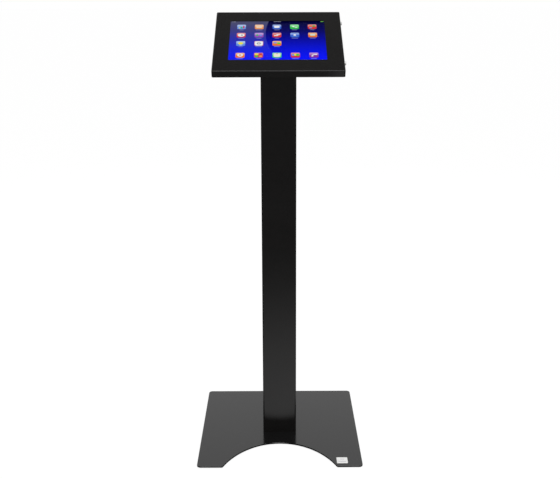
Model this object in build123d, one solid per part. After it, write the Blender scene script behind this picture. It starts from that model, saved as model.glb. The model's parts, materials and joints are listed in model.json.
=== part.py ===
from build123d import *
import os
from math import cos, radians, sin, tan

# Floor-standing kiosk for a 12-inch class 4:3 tablet: a base plate with a toe cut-out, a rectangular
# column, and a thin sloping head whose cover is hinged at its left rear edge and locked by two screws.
# Millimetres. +Z is up, the visitor stands at -Y and +X is on the visitor's right.
# The origin is on the floor, under the middle of the base plate.

# Base
BASE_WIDTH = 425.0
BASE_DEPTH = 446.0
BASE_THICKNESS = 4.0
BASE_CORNER_RADIUS = 10.0
BASE_EDGE_BREAK = 0.5
TOE_HALF_WIDTH = 168.7       # half axes of the toe cut-out's ellipse
TOE_HALF_DEPTH = 246.3
TOE_CUT_DEPTH = 124.0        # how far the cut-out reaches in from the front edge
TOE_TIP_RADIUS = 5.0         # rounds the two tips where the cut-out meets the front edge
PAD_THICKNESS = 2.0
PAD_RADIUS = 15.0
PAD_INSET = 30.0             # pad centres from the plate's edges
LABEL_WIDTH = 28.0
LABEL_DEPTH = 30.0
LABEL_THICKNESS = 0.3
LABEL_FROM_RIGHT = 51.5      # label centre from the plate's edges
LABEL_FROM_FRONT = 28.0

# Column
COLUMN_WIDTH = 90.0
COLUMN_DEPTH = 60.0
COLUMN_WALL = 2.0
COLUMN_CORNER_RADIUS = 4.0
COLUMN_FORWARD = 9.0         # column centre ahead of the base plate's centre
FOOT_THICKNESS = 12.0
FOOT_CLEARANCE = 0.1         # foot block to tube wall, where the weld runs
FOOT_SCREW_RADIUS = 3.0      # M6
FOOT_SCREW_HEAD_RADIUS = 5.7
SINK_CLEARANCE = 0.2         # screw head above the bottom of its countersink
FOOT_SCREW_INSET = 14.0      # screw centres from the tube's outer faces
OUTLET_RADIUS = 9.0          # cable outlet in the column's back
OUTLET_HEIGHT = 60.0         # above the base plate
GROMMET_LIP = 3.0
GROMMET_LIP_THICKNESS = 1.5
GROMMET_WALL = 3.0

# Head
TILT = 28.0                  # slope of the face above the horizontal
TOP_HEIGHT = 1132.3          # highest edge of the face
COVER_WIDTH = 322.0
COVER_LENGTH = 284.0         # along the slope
COVER_CORNER_RADIUS = 4.0
FOLD_RADIUS = 2.0            # outside radius of the folds round the face
HEAD_DEPTH = 18.0            # square to the face
SHEET = 1.5                  # cover and tray steel
COVER_GAP = 1.2              # cover skirt to tray wall, on three sides
HINGE_GAP = 3.0              # the same on the hinge side, where the hinge leaf stands
RIM_DROP = 1.5               # tray rim below the inside of the cover's face
HEAD_PLATE_WIDTH = 150.0
HEAD_PLATE_LENGTH = 110.0
HEAD_PLATE_THICKNESS = 3.0
HEAD_BOLT_RADIUS = 3.0       # M6
HEAD_BOLT_SPACING_X = 120.0
HEAD_BOLT_SPACING_V = 70.0
CABLE_WAY_RADIUS = 14.0
VENT_LENGTH = 40.0
VENT_WIDTH = 3.0
VENT_PITCH = 9.0
VENT_COUNT = 6
VENT_X = 112.0               # centre of each vent group from the head's middle

# Lock screws
LOCK_SCREW_RADIUS = 2.5      # M5
LOCK_SCREW_INSET = 46.0      # from the upper and lower edges of the cover
LOCK_SCREW_DEPTH = 9.0       # below the face
LOCK_SCREW_REACH = 12.0      # thread length beyond the skirt's outer face
LOCK_HEAD_RADIUS = 4.75
LOCK_HEAD_HEIGHT = 2.75
LOCK_WASHER_RADIUS = 5.0
LOCK_WASHER_THICKNESS = 1.0
LOCK_SLOT_CLEARANCE = 0.4
LOCK_NUT_ACROSS = 8.0
LOCK_NUT_THICKNESS = 4.0
THREAD_CLEARANCE = 0.05      # radial, screw to tapped hole
HOLE_CLEARANCE = 0.3         # radial, bolt to clearance hole

# Hinge
HINGE_RADIUS = 3.0
HINGE_PIN_RADIUS = 1.5
HINGE_PIN_CLEARANCE = 0.05
HINGE_LEAF = 1.2
HINGE_INSET = 4.0            # pin centre inside the cover's left side
HINGE_DROP = 0.4             # barrel below the head's rear face
HINGE_END_SPACE = 22.0       # hinge ends from the cover's ends
HINGE_KNUCKLES = 11
KNUCKLE_GAP = 0.3
HINGE_LEAF_WIDTH = 18.0
HINGE_RIVET_RADIUS = 1.6
HINGE_RIVET_COUNT = 5
HINGE_RIVET_HEAD = 1.2
HINGE_RIVET_TAIL = 1.2

# Tablet
DISPLAY_WIDTH = 248.0
DISPLAY_LENGTH = 186.0
DISPLAY_BORDER = 2.0         # unlit edge of the display panel
WINDOW_WIDTH = 241.0
WINDOW_LENGTH = 188.0
WINDOW_UP = 1.2              # window centre above the middle of the cover
WINDOW_CORNER_RADIUS = 1.0
TABLET_WIDTH = 278.0
TABLET_LENGTH = 208.0
TABLET_THICKNESS = 7.5
TABLET_CORNER_RADIUS = 10.0
TABLET_DEPTH = 2.5           # glass below the cover's face
TABLET_LEFT = 2.0            # tablet and window centre, left of the head's middle
TABLET_UP = 6.5              # tablet centre above it: seen from the front, the deeper display looks lower
TABLET_BACK_RADIUS = 2.0
GLASS_THICKNESS = 1.0
SHELL_WALL = 1.5
DISPLAY_THICKNESS = 2.0
DISPLAY_GAP = 0.3            # clear adhesive between glass and display
BATTERY_WIDTH = 108.0
BATTERY_LENGTH = 130.0
BATTERY_THICKNESS = 2.2
BATTERY_SPACE = 4.0          # between the two cells
BOARD_WIDTH = 18.0
BOARD_LENGTH = 150.0
BOARD_THICKNESS = 1.0
CHIP_THICKNESS = 0.8
SPEAKER_WIDTH = 14.0
SPEAKER_LENGTH = 40.0
SPEAKER_THICKNESS = 2.4
GASKET_WIDTH = 4.0
GASKET_SETBACK = 2.0         # gasket outside the window's edge
GASKET_CLEARANCE = 0.3       # gasket to glass
CRADLE_SIZE = 34.0
CRADLE_WALL = 10.0
CRADLE_RISE = 5.5            # cradle top below the cover's face
CRADLE_CLEARANCE = 0.2
CRADLE_SCREW_RADIUS = 2.0
CRADLE_SCREW_REACH = 5.5     # from the tray's rear face
BUTTON_WIDTH = 2.4
BUTTON_CORNER_RADIUS = 1.15
BUTTON_PROUD = 0.7
BUTTON_TRAVEL = 0.4
BUTTON_CLEARANCE = 0.15
BUTTON_FLANGE = 0.8
POWER_LENGTH = 11.0
POWER_X = 90.0               # from the tablet's middle
VOLUME_LENGTH = 24.0
VOLUME_V = 40.0              # from the tablet's middle
PORT_LENGTH = 9.4
PORT_WIDTH = 3.2
PORT_WALL = 0.4
PORT_REACH = 7.0

# Places worked out from the sizes above
BASE_TOP = PAD_THICKNESS + BASE_THICKNESS
COLUMN_Y = -COLUMN_FORWARD
FOLD_Y = COLUMN_Y - COVER_LENGTH * cos(radians(TILT)) / 2
FOLD_Z = TOP_HEIGHT - COVER_LENGTH * sin(radians(TILT))
# The head's own frame: x to the right, y up the slope, z out of the face, from the middle of the lower fold
HEAD = Plane(
    origin=(0, FOLD_Y, FOLD_Z), x_dir=(1, 0, 0), z_dir=(0, -sin(radians(TILT)), cos(radians(TILT)))
)
HALF_COVER = COVER_WIDTH / 2
MIDDLE_V = COVER_LENGTH / 2
TRAY_LEFT = -HALF_COVER + SHEET + HINGE_GAP
TRAY_RIGHT = HALF_COVER - SHEET - COVER_GAP
TRAY_LOW = SHEET + COVER_GAP
TRAY_HIGH = COVER_LENGTH - SHEET - COVER_GAP
TRAY_RIM = SHEET + RIM_DROP
TRAY_FLOOR = HEAD_DEPTH - SHEET
HEAD_PLATE_BACK = HEAD_DEPTH + HEAD_PLATE_THICKNESS
# Where the column's centre line meets the middle of the head plate
COLUMN_V = (COLUMN_Y - FOLD_Y - HEAD_DEPTH * sin(radians(TILT))) / cos(radians(TILT))
LOCK_VS = (COVER_LENGTH - LOCK_SCREW_INSET, LOCK_SCREW_INSET)
HINGE_X = -HALF_COVER + HINGE_INSET
HINGE_DEPTH = HEAD_DEPTH + HINGE_DROP + HINGE_RADIUS
HINGE_LOW = HINGE_END_SPACE
HINGE_LENGTH = COVER_LENGTH - 2 * HINGE_END_SPACE
KNUCKLE = HINGE_LENGTH / HINGE_KNUCKLES
TABLET_BACK = TABLET_DEPTH + TABLET_THICKNESS
SHELL_FLOOR = TABLET_BACK - SHELL_WALL
BUTTON_DEPTH = TABLET_DEPTH + GLASS_THICKNESS + (TABLET_THICKNESS - GLASS_THICKNESS) / 2
BOARD_X = BATTERY_SPACE / 2 + BATTERY_WIDTH + BATTERY_SPACE + BOARD_WIDTH / 2
TABLET_V = MIDDLE_V + TABLET_UP
TABLET_CENTRE = Pos(-TABLET_LEFT, TABLET_V, 0)
WINDOW_CENTRE = Pos(-TABLET_LEFT, MIDDLE_V + WINDOW_UP, 0)
TABLET = HEAD * TABLET_CENTRE


def block(x, y, z):
    """A box from three (low, high) pairs."""
    return Pos((x[0] + x[1]) / 2, (y[0] + y[1]) / 2, (z[0] + z[1]) / 2) * Box(
        x[1] - x[0], y[1] - y[0], z[1] - z[0]
    )


def rounded(x, y, z, radius):
    """The same, with its four upright corners rounded."""
    outline = Pos((x[0] + x[1]) / 2, (y[0] + y[1]) / 2, z[0]) * RectangleRounded(
        x[1] - x[0], y[1] - y[0], radius
    )
    return extrude(outline, z[1] - z[0])


def disc(x, y, z, radius):
    """An upright cylinder between two heights."""
    return Pos(x, y, (z[0] + z[1]) / 2) * Cylinder(radius, z[1] - z[0])


def rod_x(x, y, z, radius):
    """A cylinder along x."""
    return Pos((x[0] + x[1]) / 2, y, z) * Rot(0, 90, 0) * Cylinder(radius, x[1] - x[0])


def rod_y(x, y, z, radius):
    """A cylinder along y."""
    return Pos(x, (y[0] + y[1]) / 2, z) * Rot(90, 0, 0) * Cylinder(radius, y[1] - y[0])


def both(half):
    return (-half, half)


def grid(x_spacing, y_spacing):
    """The four corners of a rectangle about the origin."""
    return [(sx * x_spacing / 2, sy * y_spacing / 2) for sx in (-1, 1) for sy in (-1, 1)]


# ---- Base

def foot_screw_places():
    x_spacing = COLUMN_WIDTH - 2 * FOOT_SCREW_INSET
    y_spacing = COLUMN_DEPTH - 2 * FOOT_SCREW_INSET
    return [(x, COLUMN_Y + y) for x, y in grid(x_spacing, y_spacing)]


def base_plate():
    outline = RectangleRounded(BASE_WIDTH, BASE_DEPTH, BASE_CORNER_RADIUS)
    toe_centre = -BASE_DEPTH / 2 + TOE_CUT_DEPTH - TOE_HALF_DEPTH
    outline -= Pos(0, toe_centre) * Ellipse(TOE_HALF_WIDTH, TOE_HALF_DEPTH)
    front = outline.vertices().group_by(Axis.Y)[0].sort_by(Axis.X)
    outline = fillet(front[1:-1], TOE_TIP_RADIUS)
    plate = Pos(0, 0, PAD_THICKNESS) * extrude(outline, BASE_THICKNESS)
    rims = plate.edges().filter_by(Plane.XY)
    plate = chamfer(rims, BASE_EDGE_BREAK)
    sink_depth = FOOT_SCREW_HEAD_RADIUS - FOOT_SCREW_RADIUS
    for x, y in foot_screw_places():
        plate -= disc(x, y, (0, BASE_TOP + 1), FOOT_SCREW_RADIUS + HOLE_CLEARANCE)
        cone = Cone(FOOT_SCREW_HEAD_RADIUS + HOLE_CLEARANCE, FOOT_SCREW_RADIUS + HOLE_CLEARANCE, sink_depth)
        plate -= Pos(x, y, PAD_THICKNESS + sink_depth / 2) * cone
    return plate


def base_pads():
    reach_x = BASE_WIDTH / 2 - PAD_INSET
    reach_y = BASE_DEPTH / 2 - PAD_INSET
    places = [(sx * reach_x, sy * reach_y) for sx in (-1, 1) for sy in (-1, 0, 1)]
    return [disc(x, y, (0, PAD_THICKNESS), PAD_RADIUS) for x, y in places]


def asset_label():
    x = BASE_WIDTH / 2 - LABEL_FROM_RIGHT
    y = -BASE_DEPTH / 2 + LABEL_FROM_FRONT
    return rounded(
        (x - LABEL_WIDTH / 2, x + LABEL_WIDTH / 2),
        (y - LABEL_DEPTH / 2, y + LABEL_DEPTH / 2),
        (BASE_TOP, BASE_TOP + LABEL_THICKNESS),
        2.0,
    )


# ---- Column

def column_section(inset, z, radius):
    return rounded(
        both(COLUMN_WIDTH / 2 - inset),
        (COLUMN_Y - COLUMN_DEPTH / 2 + inset, COLUMN_Y + COLUMN_DEPTH / 2 - inset),
        z,
        radius,
    )


def column_tube():
    tall = (BASE_TOP, TOP_HEIGHT)
    tube = column_section(0, tall, COLUMN_CORNER_RADIUS)
    tube -= column_section(COLUMN_WALL, tall, COLUMN_CORNER_RADIUS - COLUMN_WALL)
    reach = 2 * COVER_LENGTH
    above_head_plate = HEAD * block(both(reach), both(reach), (-HEAD_PLATE_BACK, reach))
    tube -= above_head_plate
    back = COLUMN_Y + COLUMN_DEPTH / 2
    tube -= rod_y(0, (back - 2 * COLUMN_WALL, back + 1), BASE_TOP + OUTLET_HEIGHT, OUTLET_RADIUS)
    return tube


def column_foot():
    inset = COLUMN_WALL + FOOT_CLEARANCE
    top = BASE_TOP + FOOT_THICKNESS
    foot = column_section(inset, (BASE_TOP, top), COLUMN_CORNER_RADIUS - COLUMN_WALL)
    for x, y in foot_screw_places():
        foot -= disc(x, y, (BASE_TOP - 1, top + 1), FOOT_SCREW_RADIUS + THREAD_CLEARANCE)
    return foot


def foot_screws():
    sink_depth = FOOT_SCREW_HEAD_RADIUS - FOOT_SCREW_RADIUS
    screws = []
    for x, y in foot_screw_places():
        head = Cone(FOOT_SCREW_HEAD_RADIUS, FOOT_SCREW_RADIUS, sink_depth)
        screw = Pos(x, y, PAD_THICKNESS + sink_depth / 2 + SINK_CLEARANCE) * head
        screw += disc(x, y, (PAD_THICKNESS + sink_depth, BASE_TOP + FOOT_THICKNESS), FOOT_SCREW_RADIUS)
        socket = Pos(x, y, PAD_THICKNESS) * extrude(RegularPolygon(FOOT_SCREW_RADIUS * 0.7, 6), 2.0)
        screws.append(screw - socket)
    return screws


def grommet(bore, hole, wall):
    """A rubber grommet about +z, its groove from z=0 down through a wall of this thickness."""
    body = disc(0, 0, (-wall - GROMMET_LIP_THICKNESS, GROMMET_LIP_THICKNESS), hole)
    body += disc(0, 0, (0, GROMMET_LIP_THICKNESS), hole + GROMMET_LIP)
    body += disc(0, 0, (-wall - GROMMET_LIP_THICKNESS, -wall), hole + GROMMET_LIP)
    body = fillet(body.edges().group_by(Axis.Z)[-1].sort_by(SortBy.LENGTH)[-1:], GROMMET_LIP_THICKNESS * 0.6)
    return body - disc(0, 0, (-wall - 2 * GROMMET_LIP_THICKNESS, 2 * GROMMET_LIP_THICKNESS), bore)


def cable_grommet():
    back = COLUMN_Y + COLUMN_DEPTH / 2
    return Pos(0, back, BASE_TOP + OUTLET_HEIGHT) * Rot(-90, 0, 0) * grommet(
        OUTLET_RADIUS - GROMMET_WALL, OUTLET_RADIUS, COLUMN_WALL
    )


# ---- Head: fixed pieces, in the head's own frame until the last step

def head_bolt_places():
    return [(x, COLUMN_V + v) for x, v in grid(HEAD_BOLT_SPACING_X, HEAD_BOLT_SPACING_V)]


def head_plate():
    plate = rounded(
        both(HEAD_PLATE_WIDTH / 2),
        (COLUMN_V - HEAD_PLATE_LENGTH / 2, COLUMN_V + HEAD_PLATE_LENGTH / 2),
        (-HEAD_PLATE_BACK, -HEAD_DEPTH),
        6.0,
    )
    for x, v in head_bolt_places():
        plate -= disc(x, v, (-HEAD_PLATE_BACK - 1, -HEAD_DEPTH + 1), HEAD_BOLT_RADIUS + HOLE_CLEARANCE)
    plate -= disc(0, COLUMN_V, (-HEAD_PLATE_BACK - 1, -HEAD_DEPTH + 1), CABLE_WAY_RADIUS + GROMMET_LIP + 1)
    return HEAD * plate


def tray():
    height = (-HEAD_DEPTH, -TRAY_RIM)
    outer = rounded((TRAY_LEFT, TRAY_RIGHT), (TRAY_LOW, TRAY_HIGH), height, COVER_CORNER_RADIUS)
    outer = fillet(outer.edges().group_by(Axis.Z)[0], SHEET * 0.8)
    inner = rounded(
        (TRAY_LEFT + SHEET, TRAY_RIGHT - SHEET),
        (TRAY_LOW + SHEET, TRAY_HIGH - SHEET),
        (-TRAY_FLOOR, 0),
        COVER_CORNER_RADIUS - SHEET,
    )
    pan = outer - inner
    through = (-HEAD_DEPTH - 1, -TRAY_FLOOR + 1)
    for x, v in head_bolt_places():
        pan -= disc(x, v, through, HEAD_BOLT_RADIUS + HOLE_CLEARANCE)
    pan -= disc(0, COLUMN_V, through, CABLE_WAY_RADIUS)
    for x, v in cradle_screw_places():
        pan -= disc(x, v, through, CRADLE_SCREW_RADIUS + HOLE_CLEARANCE)
    for v in hinge_rivet_vs():
        pan -= disc(hinge_rivet_x(), v, through, HINGE_RIVET_RADIUS + THREAD_CLEARANCE)
    for v in LOCK_VS:
        wall = (TRAY_RIGHT - 2 * SHEET, TRAY_RIGHT + 1)
        pan -= rod_x(wall, v, -LOCK_SCREW_DEPTH, LOCK_SCREW_RADIUS + HOLE_CLEARANCE)
    for side in (-1, 1):
        for row in range(VENT_COUNT):
            v = COLUMN_V + (row - (VENT_COUNT - 1) / 2) * VENT_PITCH
            slot = Pos(side * VENT_X, v, through[0]) * SlotOverall(VENT_LENGTH, VENT_WIDTH)
            pan -= extrude(slot, through[1] - through[0])
    return HEAD * pan


def tray_grommet():
    body = Pos(0, COLUMN_V, -TRAY_FLOOR) * grommet(CABLE_WAY_RADIUS - GROMMET_WALL, CABLE_WAY_RADIUS, SHEET)
    return HEAD * body


def hex_prism(across, thickness):
    """A hexagonal prism from z=0 up, its flats this far apart."""
    return extrude(RegularPolygon(across / 2, 6, major_radius=False), thickness)


def head_bolts():
    head_radius, head_height, washer = 5.25, 3.3, 1.0
    nut_height = 6.0
    bolts = []
    for x, v in head_bolt_places():
        head = disc(0, 0, (0, head_height), head_radius)
        head = fillet(head.edges().group_by(Axis.Z)[-1], head_height * 0.6)
        head -= Pos(0, 0, head_height - 2) * hex_prism(4.0, 3)
        reach = HEAD_PLATE_BACK - TRAY_FLOOR + nut_height + 2
        bolt = head + disc(0, 0, (-reach, 0), HEAD_BOLT_RADIUS)
        bolts.append(HEAD * Pos(x, v, -TRAY_FLOOR) * bolt)
    return bolts


def head_nuts():
    nuts = []
    for x, v in head_bolt_places():
        nut = hex_prism(10.0, 5.0) + disc(0, 0, (3.8, 5.0), 7.0)
        nut -= disc(0, 0, (-1, 6), HEAD_BOLT_RADIUS + THREAD_CLEARANCE)
        nuts.append(HEAD * Pos(x, v, -HEAD_PLATE_BACK - 5.0) * nut)
    return nuts


def lock_nuts():
    nuts = []
    for v in LOCK_VS:
        nut = hex_prism(LOCK_NUT_ACROSS, LOCK_NUT_THICKNESS)
        nut -= disc(0, 0, (-1, LOCK_NUT_THICKNESS + 1), LOCK_SCREW_RADIUS + THREAD_CLEARANCE)
        nuts.append(HEAD * Pos(TRAY_RIGHT - SHEET, v, -LOCK_SCREW_DEPTH) * Rot(0, -90, 0) * nut)
    return nuts


# ---- Lock screws

def lock_screw(v):
    """Button head with a pin-in-hex socket, its washer and its thread, along x."""
    washer = disc(0, 0, (0, LOCK_WASHER_THICKNESS), LOCK_WASHER_RADIUS)
    washer = chamfer(washer.edges().group_by(Axis.Z)[-1], 0.2)
    washer -= disc(0, 0, (-1, LOCK_WASHER_THICKNESS + 1), LOCK_SCREW_RADIUS + THREAD_CLEARANCE)
    head = disc(0, 0, (0, LOCK_HEAD_HEIGHT), LOCK_HEAD_RADIUS)
    head = fillet(head.edges().group_by(Axis.Z)[-1], LOCK_HEAD_HEIGHT * 0.75)
    head -= Pos(0, 0, LOCK_HEAD_HEIGHT - 1.6) * hex_prism(3.0, 3)
    head += disc(0, 0, (LOCK_HEAD_HEIGHT - 1.8, LOCK_HEAD_HEIGHT - 0.3), 0.5)
    head += disc(0, 0, (-LOCK_SCREW_REACH - LOCK_WASHER_THICKNESS, 0), LOCK_SCREW_RADIUS)
    seat = HEAD * Pos(HALF_COVER, v, -LOCK_SCREW_DEPTH) * Rot(0, 90, 0)
    return [seat * washer, seat * Pos(0, 0, LOCK_WASHER_THICKNESS) * head]


# ---- Cover, which swings about the hinge pin

def cover():
    outer = rounded(both(HALF_COVER), (0, COVER_LENGTH), (-HEAD_DEPTH, 0), COVER_CORNER_RADIUS)
    outer = fillet(outer.edges().group_by(Axis.Z)[-1], FOLD_RADIUS)
    inner = rounded(
        both(HALF_COVER - SHEET),
        (SHEET, COVER_LENGTH - SHEET),
        (-HEAD_DEPTH - 1, -SHEET),
        COVER_CORNER_RADIUS - SHEET,
    )
    inner = fillet(inner.edges().group_by(Axis.Z)[-1], FOLD_RADIUS - SHEET)
    pan = outer - inner
    window = rounded(
        both(WINDOW_WIDTH / 2), both(WINDOW_LENGTH / 2), (-2 * SHEET, 1), WINDOW_CORNER_RADIUS
    )
    pan -= WINDOW_CENTRE * window
    # Each lock screw's slot is open at the skirt's edge, so the skirt lifts off the loosened screw
    slot_half = LOCK_SCREW_RADIUS + LOCK_SLOT_CLEARANCE
    for v in LOCK_VS:
        wall = (HALF_COVER - 2 * SHEET, HALF_COVER + 1)
        pan -= rod_x(wall, v, -LOCK_SCREW_DEPTH, slot_half)
        pan -= block(wall, (v - slot_half, v + slot_half), (-HEAD_DEPTH - 1, -LOCK_SCREW_DEPTH))
    return HEAD * pan


def window_gasket():
    half_x = WINDOW_WIDTH / 2 + GASKET_SETBACK
    half_v = WINDOW_LENGTH / 2 + GASKET_SETBACK
    radius = WINDOW_CORNER_RADIUS + GASKET_SETBACK
    height = (-TABLET_DEPTH + GASKET_CLEARANCE, -SHEET)
    frame = rounded(both(half_x + GASKET_WIDTH), both(half_v + GASKET_WIDTH), height, radius + GASKET_WIDTH)
    frame -= rounded(both(half_x), both(half_v), (-HEAD_DEPTH, 0), radius)
    return HEAD * WINDOW_CENTRE * frame


# ---- Hinge

def knuckle_spans(first):
    """The (low, high) spans of every second knuckle, from the given one."""
    return [
        (HINGE_LOW + k * KNUCKLE + KNUCKLE_GAP / 2, HINGE_LOW + (k + 1) * KNUCKLE - KNUCKLE_GAP / 2)
        for k in range(first, HINGE_KNUCKLES, 2)
    ]


def hinge_rivet_x():
    return HINGE_X + HINGE_LEAF_WIDTH * 0.7


def hinge_rivet_vs():
    pitch = HINGE_LENGTH / HINGE_RIVET_COUNT
    return [HINGE_LOW + (k + 0.5) * pitch for k in range(HINGE_RIVET_COUNT)]


def barrel(leaf, spans):
    """Adds a hinge leaf's knuckles and bores them for the pin."""
    for low, high in spans:
        leaf += rod_y(HINGE_X, (low, high), -HINGE_DEPTH, HINGE_RADIUS)
    bore = HINGE_PIN_RADIUS + HINGE_PIN_CLEARANCE
    return leaf - rod_y(HINGE_X, (0, COVER_LENGTH), -HINGE_DEPTH, bore)


def tray_hinge_leaf():
    """Lies on the tray's rear face, and holds the even knuckles."""
    depth = (-HEAD_DEPTH - HINGE_LEAF, -HEAD_DEPTH)
    clear_of_barrel = HINGE_X + HINGE_RADIUS + 2 * KNUCKLE_GAP
    leaf = block(
        (clear_of_barrel, HINGE_X + HINGE_LEAF_WIDTH), (HINGE_LOW, HINGE_LOW + HINGE_LENGTH), depth
    )
    for span in knuckle_spans(0):
        leaf += block((HINGE_X, HINGE_X + HINGE_LEAF_WIDTH / 2), span, depth)
    leaf = barrel(leaf, knuckle_spans(0))
    for v in hinge_rivet_vs():
        leaf -= disc(hinge_rivet_x(), v, (depth[0] - 1, depth[1] + 1), HINGE_RIVET_RADIUS + THREAD_CLEARANCE)
    return HEAD * leaf


def cover_hinge_leaf():
    """Spot-welded inside the cover's left skirt, and holds the odd knuckles."""
    across = (-HALF_COVER + SHEET, -HALF_COVER + SHEET + HINGE_LEAF)
    top = -HEAD_DEPTH + 2 * HINGE_LEAF_WIDTH / 3
    leaf = block(across, (HINGE_LOW, HINGE_LOW + HINGE_LENGTH), (-HEAD_DEPTH + 2 * KNUCKLE_GAP, top))
    for span in knuckle_spans(1):
        leaf += block(across, span, (-HINGE_DEPTH, top))
    return HEAD * barrel(leaf, knuckle_spans(1))


def hinge_pin():
    return HEAD * rod_y(HINGE_X, (HINGE_LOW, HINGE_LOW + HINGE_LENGTH), -HINGE_DEPTH, HINGE_PIN_RADIUS)


def hinge_rivets():
    rivets = []
    for v in hinge_rivet_vs():
        head = disc(0, 0, (0, HINGE_RIVET_HEAD), 2 * HINGE_RIVET_RADIUS)
        head = fillet(head.edges().group_by(Axis.Z)[-1], HINGE_RIVET_HEAD * 0.8)
        reach = HINGE_LEAF + SHEET
        body = head + disc(0, 0, (-reach, 0), HINGE_RIVET_RADIUS)
        body += disc(0, 0, (-reach - HINGE_RIVET_TAIL, -reach), 1.5 * HINGE_RIVET_RADIUS)
        rivets.append(HEAD * Pos(hinge_rivet_x(), v, -HEAD_DEPTH - HINGE_LEAF) * Rot(180, 0, 0) * body)
    return rivets


# ---- Tablet, about its own middle: x and y from the middle of the display, z from the cover's face


def tablet_outline(inset, z, radius):
    return rounded(both(TABLET_WIDTH / 2 - inset), both(TABLET_LENGTH / 2 - inset), z, radius)


def button_slot(length, clearance):
    """A stadium-shaped prism along +x, centred on the origin and longer than any button."""
    outline = Plane.YZ * RectangleRounded(
        length + 2 * clearance, BUTTON_WIDTH + 2 * clearance, BUTTON_CORNER_RADIUS
    )
    return extrude(outline, 4 * SHELL_WALL, both=True)


def power_place():
    return Pos(POWER_X, TABLET_LENGTH / 2, -BUTTON_DEPTH) * Rot(0, 0, 90)


def volume_place():
    return Pos(TABLET_WIDTH / 2, VOLUME_V, -BUTTON_DEPTH)


def tablet_shell():
    glass_back = TABLET_DEPTH + GLASS_THICKNESS
    outer = tablet_outline(0, (-TABLET_BACK, -glass_back), TABLET_CORNER_RADIUS)
    outer = fillet(outer.edges().group_by(Axis.Z)[0], TABLET_BACK_RADIUS)
    shell = outer - tablet_outline(SHELL_WALL, (-SHELL_FLOOR, 0), TABLET_CORNER_RADIUS - SHELL_WALL)
    shell -= power_place() * button_slot(POWER_LENGTH, BUTTON_CLEARANCE)
    shell -= volume_place() * button_slot(VOLUME_LENGTH, BUTTON_CLEARANCE)
    shell -= port_prism(0, (-TABLET_WIDTH / 2 - 1, -TABLET_WIDTH / 2 + 2 * SHELL_WALL))
    return TABLET * shell


def tablet_glass():
    glass = tablet_outline(0, (-TABLET_DEPTH - GLASS_THICKNESS, -TABLET_DEPTH), TABLET_CORNER_RADIUS)
    return TABLET * chamfer(glass.edges().group_by(Axis.Z)[-1], 0.2)


def display_panel():
    front = TABLET_DEPTH + GLASS_THICKNESS + DISPLAY_GAP
    panel = rounded(
        both(DISPLAY_WIDTH / 2 + DISPLAY_BORDER),
        both(DISPLAY_LENGTH / 2 + DISPLAY_BORDER),
        (-front - DISPLAY_THICKNESS, -front),
        1.0,
    )
    return TABLET * panel


def battery_cells():
    centre = (BATTERY_SPACE + BATTERY_WIDTH) / 2
    return [
        TABLET
        * rounded(
            (side * centre - BATTERY_WIDTH / 2, side * centre + BATTERY_WIDTH / 2),
            both(BATTERY_LENGTH / 2),
            (-SHELL_FLOOR, -SHELL_FLOOR + BATTERY_THICKNESS),
            3.0,
        )
        for side in (-1, 1)
    ]


def logic_board():
    top = -SHELL_FLOOR + BOARD_THICKNESS
    half = BOARD_WIDTH / 2
    board = block((BOARD_X - half, BOARD_X + half), both(BOARD_LENGTH / 2), (-SHELL_FLOOR, top))
    for v, length in ((-48, 14), (-22, 20), (8, 14), (36, 10)):
        chip = (BOARD_X - half / 2, BOARD_X + half / 2)
        board += block(chip, (v - length / 2, v + length / 2), (top, top + CHIP_THICKNESS))
    return TABLET * board


def tablet_speakers():
    reach = TABLET_LENGTH / 2 - SHELL_WALL - SPEAKER_LENGTH / 2 - CRADLE_SIZE / 2
    return [
        TABLET
        * rounded(
            (-BOARD_X - SPEAKER_WIDTH / 2, -BOARD_X + SPEAKER_WIDTH / 2),
            (side * reach - SPEAKER_LENGTH / 2, side * reach + SPEAKER_LENGTH / 2),
            (-SHELL_FLOOR, -SHELL_FLOOR + SPEAKER_THICKNESS),
            2.0,
        )
        for side in (-1, 1)
    ]


def port_prism(inset, x):
    """The charging port's rounded slot, along x, this much inside its opening."""
    outline = Plane.YZ * RectangleRounded(
        PORT_LENGTH - 2 * inset, PORT_WIDTH - 2 * inset, (PORT_WIDTH - 2 * inset) / 2 - 0.05
    )
    return Pos(x[0], 0, -BUTTON_DEPTH) * extrude(outline, x[1] - x[0])


def charge_port():
    """A receptacle set flush in the shell's left wall, with its tongue."""
    mouth = -TABLET_WIDTH / 2 + 0.3
    port = port_prism(0.05, (mouth, mouth + PORT_REACH))
    port -= port_prism(0.05 + PORT_WALL, (mouth - 1, mouth + PORT_REACH - 1))
    tongue = block((mouth + 1, mouth + PORT_REACH), both(PORT_LENGTH / 2 - 1.5), both(0.35))
    tongue = Pos(0, 0, -BUTTON_DEPTH) * tongue
    return TABLET * (port + tongue)


def button(length):
    """A key about +x: its cap stands proud of x=0, and a flange inside the wall holds it in."""
    reach = SHELL_WALL + BUTTON_TRAVEL
    cap = Plane.YZ * RectangleRounded(length, BUTTON_WIDTH, BUTTON_CORNER_RADIUS)
    key = Pos(-SHELL_WALL - 0.1, 0, 0) * extrude(cap, SHELL_WALL + 0.1 + BUTTON_PROUD)
    key = fillet(key.edges().group_by(Axis.X)[-1], 0.25)
    flange = Plane.YZ * Rectangle(length + 2 * BUTTON_FLANGE, BUTTON_WIDTH + BUTTON_FLANGE)
    return key + Pos(-reach - BUTTON_FLANGE + 0.3, 0, 0) * extrude(flange, BUTTON_FLANGE)


def power_button():
    return TABLET * power_place() * button(POWER_LENGTH)


def volume_rocker():
    return TABLET * volume_place() * button(VOLUME_LENGTH)


# ---- Cradles that carry the tablet on the tray

def cradle_corners():
    """The tablet's corners as (side along x, side along y)."""
    return [(sx, sy) for sx in (-1, 1) for sy in (-1, 1)]


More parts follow.
